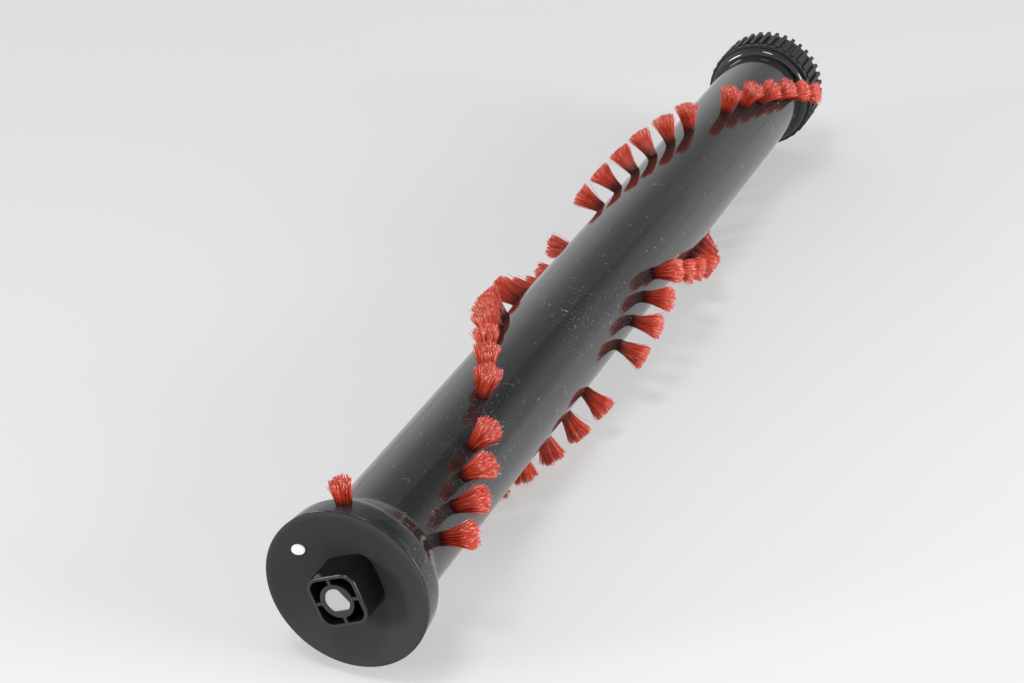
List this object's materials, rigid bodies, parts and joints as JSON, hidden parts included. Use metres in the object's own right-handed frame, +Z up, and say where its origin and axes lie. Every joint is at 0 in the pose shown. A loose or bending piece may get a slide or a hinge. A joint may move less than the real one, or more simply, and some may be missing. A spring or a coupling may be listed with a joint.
{
  "type": "vacuum brush roll",
  "caption": "Cylindrical vacuum brush roll with V-shaped rows of bristle tufts, a toothed drive pulley, a keyed end cap and a steel axle on ball bearings.",
  "frame": {"origin": "on the roll's axis, in the front plane of the end cap's rim", "axes": "+X along the axle towards the drive pulley, +Z up as the roll lies on its tufts"},
  "size_m": [0.3422, 0.0458, 0.0482],
  "materials": {
    "tube_plastic": "polished dark grey plastic, scuffed",
    "tuft_fibre": "orange red nylon filament",
    "steel": "drawn and cut steel",
    "spring_steel": "blued spring steel",
    "pulley_plastic": "moulded black plastic",
    "cap_plastic": "moulded dark grey plastic",
    "dot_paint": "white",
    "bearing_steel": "ground bearing steel"
  },
  "bodies": {
    "axle_assembly": {"axle": "steel", "end_cap": "cap_plastic", "index_dot": "dot_paint", "axle_clips": "spring_steel", "thrust_washer": "steel", "bearing_inner_rings": "bearing_steel"},
    "brush_roll": {"brush_tube": "tube_plastic", "edge_tuft": "tuft_fibre", "drive_pulley": "pulley_plastic", "bearing_outer_rings": "bearing_steel", "tufts_row_1_group_1": "tuft_fibre", "tufts_row_1_group_2": "tuft_fibre", "tufts_row_1_group_3": "tuft_fibre", "tufts_row_1_group_4": "tuft_fibre", "tufts_row_1_group_5": "tuft_fibre", "tufts_row_2_group_1": "tuft_fibre", "tufts_row_2_group_2": "tuft_fibre", "tufts_row_2_group_3": "tuft_fibre", "tufts_row_2_group_4": "tuft_fibre", "tufts_row_2_group_5": "tuft_fibre"}
  },
  "joints": [
    {"name": "roll_spin", "type": "hinge", "parent": "axle_assembly", "child": "brush_roll", "pos_m": [0, 0, 0], "axis": [1, 0, 0], "continuous": true}
  ]
}
